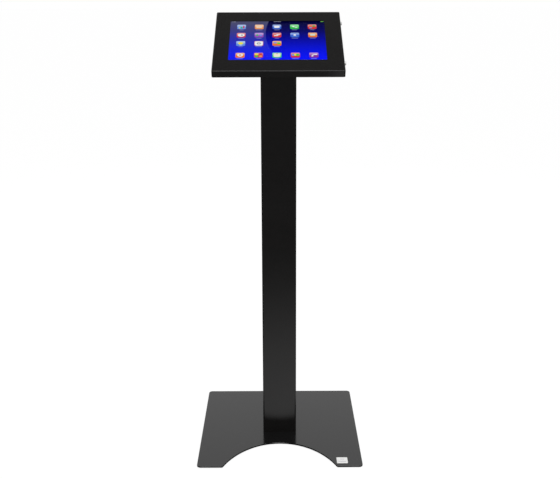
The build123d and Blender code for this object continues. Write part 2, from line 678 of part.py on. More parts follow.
def cradle_screw_places():
    """Under the ledge of each cradle, inside the tablet's corner, in the head's frame."""
    inset = CRADLE_SIZE / 2 - CRADLE_WALL
    return [
        (sx * (TABLET_WIDTH / 2 - inset) - TABLET_LEFT, TABLET_V + sy * (TABLET_LENGTH / 2 - inset))
        for sx, sy in cradle_corners()
    ]


def corner_cradles():
    cradles = []
    for sx, sy in cradle_corners():
        x = sx * (TABLET_WIDTH / 2 + CRADLE_WALL - CRADLE_SIZE / 2)
        y = sy * (TABLET_LENGTH / 2 + CRADLE_WALL - CRADLE_SIZE / 2)
        cradle = rounded(
            (x - CRADLE_SIZE / 2, x + CRADLE_SIZE / 2),
            (y - CRADLE_SIZE / 2, y + CRADLE_SIZE / 2),
            (-TRAY_FLOOR, -CRADLE_RISE),
            3.0,
        )
        pocket_radius = TABLET_CORNER_RADIUS + CRADLE_CLEARANCE
        cradle -= tablet_outline(-CRADLE_CLEARANCE, (-TABLET_BACK, 0), pocket_radius)
        cradle = TABLET_CENTRE * cradle
        for screw_x, screw_v in cradle_screw_places():
            hole = CRADLE_SCREW_RADIUS + THREAD_CLEARANCE
            cradle -= disc(screw_x, screw_v, (-HEAD_DEPTH, -HEAD_DEPTH + CRADLE_SCREW_REACH + 1), hole)
        for rivet_v in hinge_rivet_vs():
            relief = (-HEAD_DEPTH, -TRAY_FLOOR + HINGE_RIVET_TAIL + 1)
            cradle -= disc(hinge_rivet_x(), rivet_v, relief, 2 * HINGE_RIVET_RADIUS)
        cradles.append(HEAD * cradle)
    return cradles


def cradle_screws():
    screws = []
    head_height = 2.2
    for x, v in cradle_screw_places():
        head = disc(0, 0, (0, head_height), 1.9 * CRADLE_SCREW_RADIUS)
        head = fillet(head.edges().group_by(Axis.Z)[-1], head_height * 0.6)
        head -= Pos(0, 0, head_height - 1.3) * hex_prism(2.5, 2)
        screw = head + disc(0, 0, (-CRADLE_SCREW_REACH, 0), CRADLE_SCREW_RADIUS)
        screws.append(HEAD * Pos(x, v, -HEAD_DEPTH) * Rot(180, 0, 0) * screw)
    return screws


PIECES = {
    "base_plate": base_plate,
    "base_pads": base_pads,
    "asset_label": asset_label,
    "column_tube": column_tube,
    "column_foot": column_foot,
    "foot_screws": foot_screws,
    "cable_grommet": cable_grommet,
    "head_plate": head_plate,
    "head_bolts": head_bolts,
    "head_nuts": head_nuts,
    "tray": tray,
    "tray_grommet": tray_grommet,
    "lock_nuts": lock_nuts,
    "upper_lock_screw": lambda: lock_screw(LOCK_VS[0]),
    "lower_lock_screw": lambda: lock_screw(LOCK_VS[1]),
    "cover": cover,
    "window_gasket": window_gasket,
    "tray_hinge_leaf": tray_hinge_leaf,
    "cover_hinge_leaf": cover_hinge_leaf,
    "hinge_pin": hinge_pin,
    "hinge_rivets": hinge_rivets,
    "corner_cradles": corner_cradles,
    "cradle_screws": cradle_screws,
    "tablet_shell": tablet_shell,
    "tablet_glass": tablet_glass,
    "display_panel": display_panel,
    "battery_cells": battery_cells,
    "logic_board": logic_board,
    "tablet_speakers": tablet_speakers,
    "charge_port": charge_port,
    "power_button": power_button,
    "volume_rocker": volume_rocker,
}

os.makedirs("parts", exist_ok=True)
for name, make in PIECES.items():
    made = make()
    solids = [s for piece in (made if isinstance(made, list) else [made]) for s in piece.solids()]
    export_step(Compound(children=solids) if len(solids) > 1 else solids[0], f"parts/{name}.step")
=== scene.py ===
"""Looks for the touchscreen kiosk: screen contents, paint, metals, rubber, screw threads and light."""
import json
from math import ceil, cos, pi, radians, sin

import bmesh
import bpy
from mathutils import Matrix, Vector


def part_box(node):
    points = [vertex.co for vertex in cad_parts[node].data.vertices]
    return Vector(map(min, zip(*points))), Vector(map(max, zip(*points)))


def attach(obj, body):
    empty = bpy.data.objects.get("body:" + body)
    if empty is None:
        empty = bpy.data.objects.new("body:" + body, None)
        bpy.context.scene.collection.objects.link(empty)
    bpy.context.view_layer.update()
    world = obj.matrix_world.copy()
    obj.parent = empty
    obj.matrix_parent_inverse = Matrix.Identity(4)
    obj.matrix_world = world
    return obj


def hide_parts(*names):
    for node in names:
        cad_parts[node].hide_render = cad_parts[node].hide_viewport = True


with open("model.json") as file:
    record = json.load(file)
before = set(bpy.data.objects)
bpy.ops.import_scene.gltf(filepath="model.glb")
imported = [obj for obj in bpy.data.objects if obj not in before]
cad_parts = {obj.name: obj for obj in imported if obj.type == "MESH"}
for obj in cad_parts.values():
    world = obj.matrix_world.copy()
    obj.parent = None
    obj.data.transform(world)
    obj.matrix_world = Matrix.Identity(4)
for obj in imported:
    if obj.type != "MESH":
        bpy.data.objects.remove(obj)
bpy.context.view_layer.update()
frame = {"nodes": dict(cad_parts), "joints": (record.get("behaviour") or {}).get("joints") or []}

MM = 0.001


# ---- Camera, at the photograph's viewing angle

CAMERA_PLACE = Vector((-0.0026, -2.2799, 1.1739))
CAMERA_TURN = -0.138         # degrees, about the vertical
CAMERA_PITCH = 13.63         # degrees down
CAMERA_ROLL = -0.18          # degrees
CAMERA_LENS = 57.25          # millimetres
CAMERA_SENSOR = 36.0         # millimetres, across
CAMERA_SHIFT = -0.05         # share of the sensor's width


def make_camera():
    camera = bpy.data.objects.new("camera", bpy.data.cameras.new("camera"))
    bpy.context.scene.collection.objects.link(camera)
    camera.data.lens = CAMERA_LENS
    camera.data.sensor_width = CAMERA_SENSOR
    camera.data.shift_y = CAMERA_SHIFT
    camera.data.clip_start = 0.1
    camera.data.clip_end = 200.0
    turn = Matrix.Rotation(radians(CAMERA_TURN), 4, "Z")
    pitch = Matrix.Rotation(radians(90 - CAMERA_PITCH), 4, "X")
    roll = Matrix.Rotation(radians(CAMERA_ROLL), 4, "Z")
    camera.matrix_world = Matrix.Translation(CAMERA_PLACE) @ turn @ pitch @ roll
    bpy.context.scene.camera = camera


# ---- The head's own frame: x to the right, y up the slope, z out of the face

def head_frame():
    """Read from the cover and its hinge: the origin is the middle of the lower fold, on the face."""
    hinge = next(j for j in frame["joints"] if j["name"] == "cover_hinge")
    up = -Vector(hinge["axis"]).normalized()
    right = Vector((1, 0, 0))
    out = right.cross(up)
    corners = [v.co for v in frame["nodes"]["cover"].data.vertices]
    origin = up * min(c.dot(up) for c in corners) + out * max(c.dot(out) for c in corners)
    turn = Matrix((right, up, out)).transposed().to_4x4()
    return Matrix.Translation(origin) @ turn


HEAD = head_frame()


def span(node):
    """A node's lowest and highest corners in the head's frame, in metres."""
    to_head = HEAD.inverted()
    corners = [to_head @ v.co for v in frame["nodes"][node].data.vertices]
    return [Vector([pick(c[k] for c in corners) for k in range(3)]) for pick in (min, max)]


# ---- Material helpers

def srgb(red, green, blue):
    """A colour written as 0-255 screen values, as the linear values that a shader takes."""
    linear = []
    for value in (red, green, blue):
        share = value / 255
        linear.append(share / 12.92 if share <= 0.04045 else ((share + 0.055) / 1.055) ** 2.4)
    return (*linear, 1.0)


def plug(tree, socket, value):
    """Links another node's output to the socket, or sets the socket to a plain value."""
    if isinstance(value, bpy.types.NodeSocket):
        tree.links.new(value, socket)
    else:
        socket.default_value = value


def add(tree, kind, **values):
    """A new node. Names with a capital are sockets, the rest are the node's own settings."""
    node = tree.nodes.new(kind)
    for name, value in values.items():
        if name[0].isupper():
            plug(tree, node.inputs[name.replace("_", " ")], value)
        else:
            setattr(node, name, value)
    return node


def calculate(tree, operation, first, second=None, kind="ShaderNodeMath"):
    """The result of a Math node, whose values are numbers or other nodes' outputs."""
    node = add(tree, kind, operation=operation)
    plug(tree, node.inputs[0], first)
    if second is not None:
        plug(tree, node.inputs[1], second)
    return node.outputs["Value" if operation == "LENGTH" or kind == "ShaderNodeMath" else "Vector"]


def calculate_vector(tree, operation, first, second=None):
    return calculate(tree, operation, first, second, "ShaderNodeVectorMath")


def map_range(tree, value, start, end, low=0.0, high=1.0, smooth=False):
    """The value's way from start to end, as a number from low to high."""
    way = "SMOOTHSTEP" if smooth else "LINEAR"
    node = add(tree, "ShaderNodeMapRange", Value=value, From_Min=start, From_Max=end, To_Min=low, To_Max=high,
               interpolation_type=way)
    return node.outputs["Result"]


def mix_shaders(tree, factor, first, second):
    node = add(tree, "ShaderNodeMixShader")
    for socket, value in zip(node.inputs, (factor, first.outputs[0], second.outputs[0])):
        plug(tree, socket, value)
    return node


def color_ramp(tree, value, stops):
    """A ramp through (position, linear colour) stops."""
    ramp = add(tree, "ShaderNodeValToRGB", Fac=value)
    elements = ramp.color_ramp.elements
    while len(elements) < len(stops):
        elements.new(0.5)
    for element, (position, color) in zip(elements, stops):
        element.position = position
        element.color = (*color[:3], 1.0)
    return ramp.outputs["Color"]


def object_place(tree):
    """The object's own coordinates."""
    return add(tree, "ShaderNodeTexCoord").outputs["Object"]


def axis_of(tree, vector, axis):
    return add(tree, "ShaderNodeSeparateXYZ", Vector=vector).outputs[axis]


def noise(tree, scale, detail=3.0):
    """Noise on the object's own coordinates; scale is lumps per metre."""
    texture = add(tree, "ShaderNodeTexNoise", Vector=object_place(tree), Scale=scale, Detail=detail,
                  Roughness=0.55)
    return texture.outputs["Fac"]


def plain(name, color, roughness, metallic=0.0, **sockets):
    material = bpy.data.materials.new(name)
    material.use_nodes = True
    values = {"Base_Color": (*color[:3], 1.0), "Roughness": roughness, "Metallic": metallic, **sockets}
    for socket, value in values.items():
        set_shader(material, socket.replace("_", " "), value)
    return material


def set_shader(material, socket, value):
    tree = material.node_tree
    plug(tree, tree.nodes["Principled BSDF"].inputs[socket], value)


def vary_roughness(material, low, high, scale):
    tree = material.node_tree
    set_shader(material, "Roughness", map_range(tree, noise(tree, scale), 0.3, 0.7, low, high))


def vary_color(material, dark, light, scale):
    tree = material.node_tree
    set_shader(material, "Base Color", color_ramp(tree, noise(tree, scale), ((0.32, dark), (0.68, light))))


def add_bumps(material, *layers):
    """Each layer is (lumps per metre, depth in metres, strength)."""
    tree = material.node_tree
    before = {}
    for scale, depth, strength in layers:
        height = noise(tree, scale, 2.0)
        bump = add(tree, "ShaderNodeBump", Height=height, Strength=strength, Distance=depth, **before)
        before = {"Normal": bump.outputs["Normal"]}
    set_shader(material, "Normal", before["Normal"])


def scaled(color, factor):
    return tuple(c * factor for c in color[:3])


# ---- Materials

def powder_coat(name, color, roughness, grain_depth):
    """Satin powder coat: a fine grain on a long, shallow orange peel."""
    material = plain(name, color, roughness)
    vary_color(material, scaled(color, 0.9), scaled(color, 1.1), 40)
    vary_roughness(material, roughness - 0.015, roughness + 0.015, 60)
    add_bumps(material, (260, 0.00004, 0.1), (1700, grain_depth, 0.16))
    return material


def stainless():
    material = plain("stainless", (0.84, 0.84, 0.83), 0.45, 1.0)
    vary_color(material, (0.79, 0.79, 0.78), (0.89, 0.89, 0.88), 500)
    vary_roughness(material, 0.38, 0.52, 700)
    add_bumps(material, (3000, 0.00002, 0.2))
    return material


def zinc():
    material = plain("zinc_plate", (0.48, 0.49, 0.50), 0.35, 1.0)
    vary_color(material, (0.40, 0.41, 0.44), (0.56, 0.55, 0.52), 120)
    vary_roughness(material, 0.28, 0.46, 260)
    add_bumps(material, (1800, 0.00003, 0.2))
    return material


def rubber():
    material = plain("rubber", (0.017, 0.017, 0.018), 0.72)
    vary_color(material, (0.013, 0.013, 0.013), (0.024, 0.024, 0.025), 90)
    vary_roughness(material, 0.62, 0.82, 160)
    add_bumps(material, (900, 0.00008, 0.3))
    return material


def foam():
    """Closed-cell foam: pores half a millimetre across."""
    material = plain("gasket_foam", (0.022, 0.022, 0.023), 0.9)
    tree = material.node_tree
    pores = add(tree, "ShaderNodeTexVoronoi", Vector=object_place(tree), Scale=2200.0)
    bump = add(tree, "ShaderNodeBump", Height=pores.outputs["Distance"], Strength=0.6, Distance=0.0002)
    set_shader(material, "Normal", bump.outputs["Normal"])
    vary_color(material, (0.014, 0.014, 0.015), (0.034, 0.034, 0.035), 700)
    return material


def moulded(name, color, roughness=0.5):
    """Moulded plastic with a fine spark-eroded texture."""
    material = plain(name, color, roughness)
    vary_color(material, scaled(color, 0.85), scaled(color, 1.18), 60)
    vary_roughness(material, roughness - 0.06, roughness + 0.06, 200)
    add_bumps(material, (2400, 0.00005, 0.3))
    return material


def anodised():
    material = plain("anodised", (0.32, 0.32, 0.33), 0.38, 1.0)
    vary_color(material, (0.30, 0.30, 0.31), (0.34, 0.34, 0.35), 40)
    vary_roughness(material, 0.34, 0.42, 300)
    add_bumps(material, (4000, 0.00002, 0.25))
    return material


def battery_wrap():
    material = plain("battery_wrap", (0.07, 0.07, 0.075), 0.42)
    vary_color(material, (0.055, 0.055, 0.06), (0.09, 0.09, 0.095), 30)
    vary_roughness(material, 0.32, 0.5, 80)
    add_bumps(material, (160, 0.0004, 0.25))
    return material


def circuit_board():
    """Green solder mask with paler copper areas under it."""
    material = plain("circuit_board", (0.012, 0.07, 0.035), 0.34)
    tree = material.node_tree
    blocks = add(tree, "ShaderNodeTexVoronoi", Vector=object_place(tree), Scale=420.0, distance="MANHATTAN")
    stops = ((0, (0.008, 0.05, 0.025)), (1, (0.03, 0.13, 0.06)))
    set_shader(material, "Base Color", color_ramp(tree, blocks.outputs["Distance"], stops))
    vary_roughness(material, 0.28, 0.42, 300)
    return material


def clear_glass():
    """Anti-reflective tablet glass, with the faintest smears in its polish."""
    material = plain("tablet_glass", (0.97, 0.98, 0.98), 0.02, IOR=1.12, Transmission_Weight=1.0)
    vary_roughness(material, 0.0, 0.05, 25)
    return material


def vinyl():
    material = plain("label_vinyl", (0.86, 0.86, 0.845), 0.4)
    vary_color(material, (0.82, 0.82, 0.805), (0.88, 0.88, 0.865), 70)
    vary_roughness(material, 0.32, 0.48, 150)
    return material


def dark_panel():
    """The display's unlit edge and back."""
    material = plain("display_edge", (0.012, 0.012, 0.014), 0.3)
    vary_color(material, (0.009, 0.009, 0.011), (0.016, 0.016, 0.018), 60)
    vary_roughness(material, 0.24, 0.36, 120)
    return material


# ---- Mesh helpers

def new_object(name, mesh, materials):
    """Turns a bmesh into an object in the scene."""
    data = bpy.data.meshes.new(name)
    mesh.to_mesh(data)
    mesh.free()
    for material in materials:
        data.materials.append(material)
    piece = bpy.data.objects.new(name, data)
    bpy.context.scene.collection.objects.link(piece)
    return piece


def make_piece(name, mesh, materials, place=None, body="root"):
    """A piece of the kiosk, riding on a body, with the materials given to it."""
    bmesh.ops.recalc_face_normals(mesh, faces=mesh.faces)
    piece = new_object(name, mesh, materials)
    piece.matrix_world = place or Matrix.Identity(4)
    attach(piece, body)
    return piece


def skin(mesh, loops, closed=False):
    """Joins each loop of points to the next with quads, and the last to the first when closed."""
    faces = []
    for a, b in zip(loops, loops[1:] + loops[:1] if closed else loops[1:]):
        for k in range(len(a)):
            after = (k + 1) % len(a)
            faces.append(mesh.faces.new((a[k], a[after], b[after], b[k])))
    return faces


def prism(mesh, outline, low, high, material_index=0):
    """Adds a closed prism: the outline is (x, y) points, anticlockwise."""
    bottom = [mesh.verts.new((x, y, low)) for x, y in outline]
    top = [mesh.verts.new((x, y, high)) for x, y in outline]
    faces = [mesh.faces.new(top), mesh.faces.new(list(reversed(bottom))), *skin(mesh, [bottom, top])]
    for face in faces:
        face.material_index = material_index


def rounded_outline(x, y, width, height, radius, steps=6):
    points = []
    corners = ((1, 1, 0), (-1, 1, 1), (-1, -1, 2), (1, -1, 3))
    for side_x, side_y, quarter in corners:
        middle_x = x + side_x * (width / 2 - radius)
        middle_y = y + side_y * (height / 2 - radius)
        for k in range(steps + 1):
            angle = (quarter + k / steps) * pi / 2
            points.append((middle_x + radius * cos(angle), middle_y + radius * sin(angle)))
    return points


def ellipse_outline(x, y, width, height, steps=28):
    angles = [2 * pi * k / steps for k in range(steps)]
    return [(x + width / 2 * cos(a), y + height / 2 * sin(a)) for a in angles]


def ring_surface(mesh, rings, segments, closed=False):
    """Adds a skin over (height, radius) rings about the z axis. A radius may be a function of the angle."""
    rows = []
    for height, radius in rings:
        row = []
        for k in range(segments):
            angle = 2 * pi * k / segments
            reach = radius(angle) if callable(radius) else radius
            row.append(mesh.verts.new((reach * cos(angle), reach * sin(angle), height)))
        rows.append(row)
    skin(mesh, rows, closed)
    if not closed:
        mesh.faces.new(list(reversed(rows[0])))
        mesh.faces.new(rows[-1])


def smooth_by_angle(piece, limit=30):
    """Smooth shading, with edges over the limit in degrees kept sharp."""
    for polygon in piece.data.polygons:
        polygon.use_smooth = True
    data = bmesh.new()
    data.from_mesh(piece.data)
    for edge in data.edges:
        if len(edge.link_faces) == 2:
            edge.smooth = edge.calc_face_angle() < radians(limit)
    data.to_mesh(piece.data)
    data.free()


# ---- Screen contents. Sizes are millimetres on the display, about its middle

DISPLAY_BORDER = 2.0         # the panel's unlit edge
DISPLAY_RADIUS = 0.5
PAPER_LEVELS = (0.01, 0.05)  # bottom and top, over the panel's front
TILE_LEVELS = (0.06, 0.07)
SHAPE_LEVEL = 0.08
SHAPE_THICKNESS = 0.01
SHAPE_STEP = 0.012           # each shape on a tile lies this far above the one before

TILE = 22.2
TILE_RADIUS = 3.4
TILE_SHADES = ((0.46, 0), (0.54, 0.3), (1.0, 0.5))   # (share of the tile's height, share of white)
COLUMN_PITCH = 45.3
COLUMNS_LEFT = 1.5           # middle column left of the display's middle
ROWS = (64.4, 23.4, -16.9, -72.2)    # three rows of icons, then the dock
CAPTION_DROP = 15.2
CAPTION_HEIGHT = 1.5
CAPTION_SHORTEST = 11
CAPTION_SPREAD = 5
STATUS_DROP = 2.6            # the status line, below the display's top edge
STATUS_MARGIN = 7
SIGNAL_BARS = 5
SIGNAL_PITCH = 1.9
SIGNAL_WIDTH = 1.3
SIGNAL_SHORTEST = 0.8
SIGNAL_RISE = 0.45           # how much taller each bar is than the one before
SIGNAL_FOOT = 1.2            # the bars' feet, below the status line
BLOCKS = 4
BLOCK_PITCH = 4.8
BLOCK_SIZE = (3.6, 1.7)
CHARGE_SIZE = (7, 2.6)
CHARGE_TIP_SIZE = (0.9, 1.2)
CHARGE_TIP_OFFSET = 4.2

WHITE = (236, 238, 240)
CREAM = (232, 230, 216)
GREY = (120, 122, 128)
SKY = (104, 148, 224)
ROYAL = (52, 96, 206)
PEACH = (240, 150, 84)
ORANGE = (236, 118, 36)
GREEN = (52, 200, 78)
LEAF = (40, 172, 66)
RED = (212, 52, 54)
CRIMSON = (190, 44, 74)
PURPLE = (148, 76, 184)
VIOLET = (136, 46, 158)
YELLOW = (238, 226, 66)
PALE = (206, 224, 206)
CAPTION = (150, 156, 205)
STATUS = (176, 178, 190)
CHARGE = (120, 200, 70)

PAPER_STOPS = (0, 0.27, 0.52, 0.73, 1)       # shares of the display's height, upwards
DEEP_BLUES = ((3, 18, 255), (0, 14, 215), (0, 4, 157), (0, 0, 99), (0, 0, 42))
# A painted reflection on the glass, as paler, greyer blues, shown left of the curve in place of the
# wallpaper's own
PAINTED_GLARE_BLUES = ((12, 26, 250), (26, 38, 219), (43, 48, 173), (59, 59, 133), (78, 79, 106))
CURVE_CENTRE = (142.0, 32.0)                 # of the large ellipse whose inside stays dark; outside it lies the painted reflection
CURVE_HALF_AXES = (172.0, 205.0)
CURVE_BLEND = 0.004                          # share of the ellipse's radius, each way

# (column, row, tile colour, shapes); a shape is (kind, colour, x, y, width, height)
ICONS = (
    (0, 0, SKY, (
        ("bar", YELLOW, -5.5, -4.5, 3.6, 5),
        ("bar", GREEN, 0, -3, 3.6, 8),
        ("bar", RED, 5.5, -1, 3.6, 12),
    )),
    (1, 0, PEACH, (("bar", CREAM, 0, 2.6, 15, 3.2), ("bar", CREAM, 0, -3.4, 15, 3.2))),
    (2, 0, ROYAL, (("bar", WHITE, 0, 0, 14, 11),)),
    (3, 0, GREEN, (("disc", WHITE, -3, 1.5, 6, 6), ("bar", WHITE, 4, -2.5, 7, 3))),
    (4, 0, RED, (("bar", LEAF, 4, 3.5, 7, 7), ("bar", ORANGE, -4, 3.5, 7, 7), ("bar", SKY, -4, -4.5, 7, 5))),
    (0, 1, RED, (("disc", WHITE, 0, 0, 18, 15), ("disc", GREY, 2, 0, 5, 5))),
    (1, 1, PURPLE, (("disc", GREEN, -4.6, 0, 6.5, 7), ("disc", SKY, 4.6, -1, 6.5, 7))),
    (2, 1, RED, (("bar", WHITE, -2, -2.6, 11, 3.6), ("bar", WHITE, 3, 2.6, 9, 3.6))),
    (3, 1, ROYAL, (("disc", WHITE, 0, 0, 7, 7), ("bar", SKY, 0, -6.5, 12, 2))),
    (4, 1, ORANGE, (("bar", PALE, 0, 1, 13, 9),)),
    (0, 2, SKY, (("disc", YELLOW, 0, 1, 13, 11), ("bar", WHITE, 0, -7.4, 6, 2.2))),
    (1, 2, RED, (
        ("bar", WHITE, 0, 0, 20.6, 20.6),
        ("disc", GREY, 0, 0, 9.5, 9.5),
        ("disc", WHITE, 0, 0, 5, 5),
    )),
    (2, 2, ORANGE, (("disc", SKY, -4.5, 3, 9, 7), ("disc", GREEN, 4.5, 0.5, 9, 8))),
    (0, 3, ORANGE, (("disc", WHITE, 0, 1, 14, 14), ("disc", PEACH, 0, 1, 6.5, 6.5))),
    (1, 3, CRIMSON, (
        ("bar", YELLOW, -5, 5, 8, 7.5),
        ("bar", RED, 5, 5, 8, 7.5),
        ("bar", GREEN, -5, -5, 8, 7.5),
        ("bar", PEACH, 5, -5, 8, 7.5),
    )),
    (2, 3, GREEN, (("bar", CREAM, 0, 0, 17, 17), ("bar", RED, 0, 7, 4, 2))),
    (3, 3, RED, (("disc", SKY, -5, 1, 9, 9), ("disc", YELLOW, 0.5, 2, 8, 9), ("disc", GREEN, 5.5, 1, 9, 9))),
    (4, 3, VIOLET, (
        ("disc", WHITE, -4, -4, 5, 5),
        ("bar", WHITE, -1.9, 1, 1.6, 10),
        ("bar", WHITE, 4, 3, 8, 4),
    )),
)


def glowing(name):
    """A lit surface, whose colour is its Emission Color."""
    return plain(name, (0, 0, 0), 0.5, Specular_IOR_Level=0.0, Emission_Strength=1.0)


def lit(color):
    material = glowing("lit_%d_%d_%d" % color)
    set_shader(material, "Emission Color", srgb(*color))
    return material


def display_place():
    """The display's place, as a matrix from millimetres about the middle of its front, and its lit size."""
    low, high = span("display_panel")
    middle = (low + high) / 2
    size = ((high.x - low.x) / MM - 2 * DISPLAY_BORDER, (high.y - low.y) / MM - 2 * DISPLAY_BORDER)
    return HEAD @ Matrix.Translation((middle.x, middle.y, high.z)) @ Matrix.Scale(MM, 4), size


def wallpaper_material(size):
    """Bright blue at the bottom to navy at the top, with a painted reflection of the glass, paler and greyer,
    left of one large curve.
    """
    material = glowing("wallpaper")
    tree = material.node_tree
    place = object_place(tree)
    height = map_range(tree, axis_of(tree, place, "Y"), -size[1] / 2, size[1] / 2)
    deep, painted_glare = (
        color_ramp(tree, height, [(stop, srgb(*color)) for stop, color in zip(PAPER_STOPS, colors)])
        for colors in (DEEP_BLUES, PAINTED_GLARE_BLUES)
    )
    from_centre = calculate_vector(tree, "SUBTRACT", place, (*CURVE_CENTRE, 0))
    shares = calculate_vector(tree, "MULTIPLY", from_centre, (*(1 / half for half in CURVE_HALF_AXES), 0))
    radius = calculate_vector(tree, "LENGTH", shares)
    # Outside the curve the painted reflection takes the place of the wallpaper's blues
    mix = add(tree, "ShaderNodeMix", data_type="RGBA")
    color_a, color_b = mix.inputs[6], mix.inputs[7]
    plug(tree, mix.inputs["Factor"], map_range(tree, radius, 1 - CURVE_BLEND, 1 + CURVE_BLEND))
    plug(tree, color_a, deep)
    plug(tree, color_b, painted_glare)
    set_shader(material, "Emission Color", mix.outputs[2])
    return material


def tile_material(color):
    """A lit icon tile, paler over its upper half."""
    material = glowing("tile_%d_%d_%d" % color)
    tree = material.node_tree
    height = map_range(tree, axis_of(tree, object_place(tree), "Y"), -TILE / 2, TILE / 2)
    stops = [(stop, srgb(*(c + (255 - c) * white for c in color))) for stop, white in TILE_SHADES]
    set_shader(material, "Emission Color", color_ramp(tree, height, stops))
    return material


def column_x(column):
    return (column - 2) * COLUMN_PITCH - COLUMNS_LEFT


def make_screen():
    """Wallpaper, icons, their caption bars and a status line, in the gap between panel and glass."""
    place, size = display_place()
    mesh = bmesh.new()
    prism(mesh, rounded_outline(0, 0, *size, DISPLAY_RADIUS), *PAPER_LEVELS)
    make_piece("screen_wallpaper", mesh, [wallpaper_material(size)], place)
    make_icons(place)
    make_captions(place)
    make_status_line(place, size)


def make_icons(place):
    tiles, inks = {}, {}
    for column, row, color, shapes in ICONS:
        if color not in tiles:
            tiles[color] = tile_material(color)
        mesh = bmesh.new()
        prism(mesh, rounded_outline(0, 0, TILE, TILE, TILE_RADIUS), *TILE_LEVELS)
        used = [tiles[color]]
        for level, (kind, ink, x, y, width, height) in enumerate(shapes):
            if ink not in inks:
                inks[ink] = lit(ink)
            if inks[ink] not in used:
                used.append(inks[ink])
            if kind == "disc":
                outline = ellipse_outline(x, y, width, height)
            else:
                outline = rounded_outline(x, y, width, height, min(width, height) * 0.25)
            low = SHAPE_LEVEL + SHAPE_STEP * level
            prism(mesh, outline, low, low + SHAPE_THICKNESS, used.index(inks[ink]))
        middle = Matrix.Translation((column_x(column), ROWS[row], 0))
        make_piece(f"screen_icon_{row}_{column}", mesh, used, place @ middle)


def make_captions(place):
    """One bar under each icon, in four lengths, as words have."""
    mesh = bmesh.new()
    for column, row, *_ in ICONS:
        width = CAPTION_SHORTEST + CAPTION_SPREAD * ((3 * column + 2 * row) % 4) / 3
        outline = rounded_outline(column_x(column), ROWS[row] - CAPTION_DROP, width, CAPTION_HEIGHT, 0.6, 3)
        prism(mesh, outline, *TILE_LEVELS)
    make_piece("screen_captions", mesh, [lit(CAPTION)], place)


def make_status_line(place, size):
    """Signal bars on the left, a row of blocks in the middle and a charge mark on the right."""
    top = size[1] / 2 - STATUS_DROP
    side = size[0] / 2 - STATUS_MARGIN
    mesh = bmesh.new()
    for bar in range(SIGNAL_BARS):
        tall = SIGNAL_SHORTEST + SIGNAL_RISE * bar
        middle = (SIGNAL_PITCH * bar - side, top - SIGNAL_FOOT + tall / 2)
        prism(mesh, rounded_outline(*middle, SIGNAL_WIDTH, tall, 0.2, 2), *TILE_LEVELS)
    for block in range(BLOCKS):
        x = (block - (BLOCKS - 1) / 2) * BLOCK_PITCH
        prism(mesh, rounded_outline(x, top, *BLOCK_SIZE, 0.4, 2), *TILE_LEVELS)
    make_piece("screen_status_marks", mesh, [lit(STATUS)], place)
    mesh = bmesh.new()
    x = side - 2
    prism(mesh, rounded_outline(x, top, *CHARGE_SIZE, 0.6, 3), *TILE_LEVELS)
    prism(mesh, rounded_outline(x + CHARGE_TIP_OFFSET, top, *CHARGE_TIP_SIZE, 0.2, 2), *TILE_LEVELS)
    make_piece("screen_charge_mark", mesh, [lit(CHARGE)], place)


# ---- The glass's black border, with the front camera's lens. Millimetres, heights over the panel's front

PRINT_LEVELS = (0.2, 0.26)
PRINT_INSET = 0.3            # from the glass's edge
PRINT_RADIUS = 9.6
LENS_RINGS = ((0.268, 2.1), (0.285, 2.0), (0.285, 1.3), (0.275, 1.1))    # (height, radius)


def make_glass_border():
    """The black print behind the glass, round the display."""
    low, high = span("tablet_glass")
    size = display_place()[1]
    middle = (low + high) / 2
    place = HEAD @ Matrix.Translation((middle.x, middle.y, span("display_panel")[1].z)) @ Matrix.Scale(MM, 4)
    glass_size = ((high.x - low.x) / MM, (high.y - low.y) / MM)
    outer = rounded_outline(0, 0, *(side - 2 * PRINT_INSET for side in glass_size), PRINT_RADIUS, 10)
    inner = rounded_outline(0, 0, *size, DISPLAY_RADIUS, 10)
    back, front = PRINT_LEVELS
    mesh = bmesh.new()
    lines = ((outer, back), (outer, front), (inner, front), (inner, back))
    skin(mesh, [[mesh.verts.new((x, y, z)) for x, y in line] for line, z in lines], closed=True)
    print_black = plain("glass_print", (0.006, 0.006, 0.007), 0.4)
    vary_color(print_black, (0.005, 0.005, 0.006), (0.008, 0.008, 0.009), 50)
    make_piece("glass_border", mesh, [print_black], place)

    mesh = bmesh.new()
    ring_surface(mesh, LENS_RINGS, 32)
    lens = plain("camera_lens", (0.01, 0.012, 0.03), 0.08)
    vary_color(lens, (0.008, 0.009, 0.02), (0.014, 0.018, 0.045), 900)
    above = Matrix.Translation((0, (size[1] + glass_size[1]) / 4, 0))
    make_piece("tablet_camera", mesh, [lens], place @ above)


# ---- Lock screws, with a real thread and socket. Sizes are millimetres

SCREW_SEGMENTS = 48
WASHER_RADIUS = 5.0
WASHER_THICKNESS = 1.0
WASHER_CHAMFER = 0.15
THREAD_RADIUS = 2.5
THREAD_ROOT = 2.1
THREAD_PITCH = 0.8
THREAD_STEPS = 8             # rings for each turn
THREAD_END = 0.35            # the shank's taper at its tip
THREAD_TIP_RADIUS = 1.7
THREAD_CREST = 1.35          # over 1, so that the crests are cut flat
HEAD_RADIUS = 4.75
HEAD_EDGE = 0.45             # straight, under the dome
CROWN_RADIUS = 2.6           # the flat on the dome, round the socket
DOME_STEPS = 10
SOCKET_HALF_WIDTH = 1.5
SOCKET_DEPTH = 1.6
PIN_RADIUS = 0.5
PIN_DROP = 0.3               # the pin's top, below the crown


def hexagon(angle):
    """The socket's edge, as a distance from its middle."""
    return SOCKET_HALF_WIDTH / cos((angle % (pi / 3)) - pi / 6)


def thread(height):
    """The radius of the ring at this height, as a function of the angle, on a single helix."""
    def radius(angle):
        phase = (height / THREAD_PITCH - angle / (2 * pi)) % 1
        return THREAD_ROOT + (THREAD_RADIUS - THREAD_ROOT) * min(1, THREAD_CREST * (1 - abs(2 * phase - 1)))
    return radius


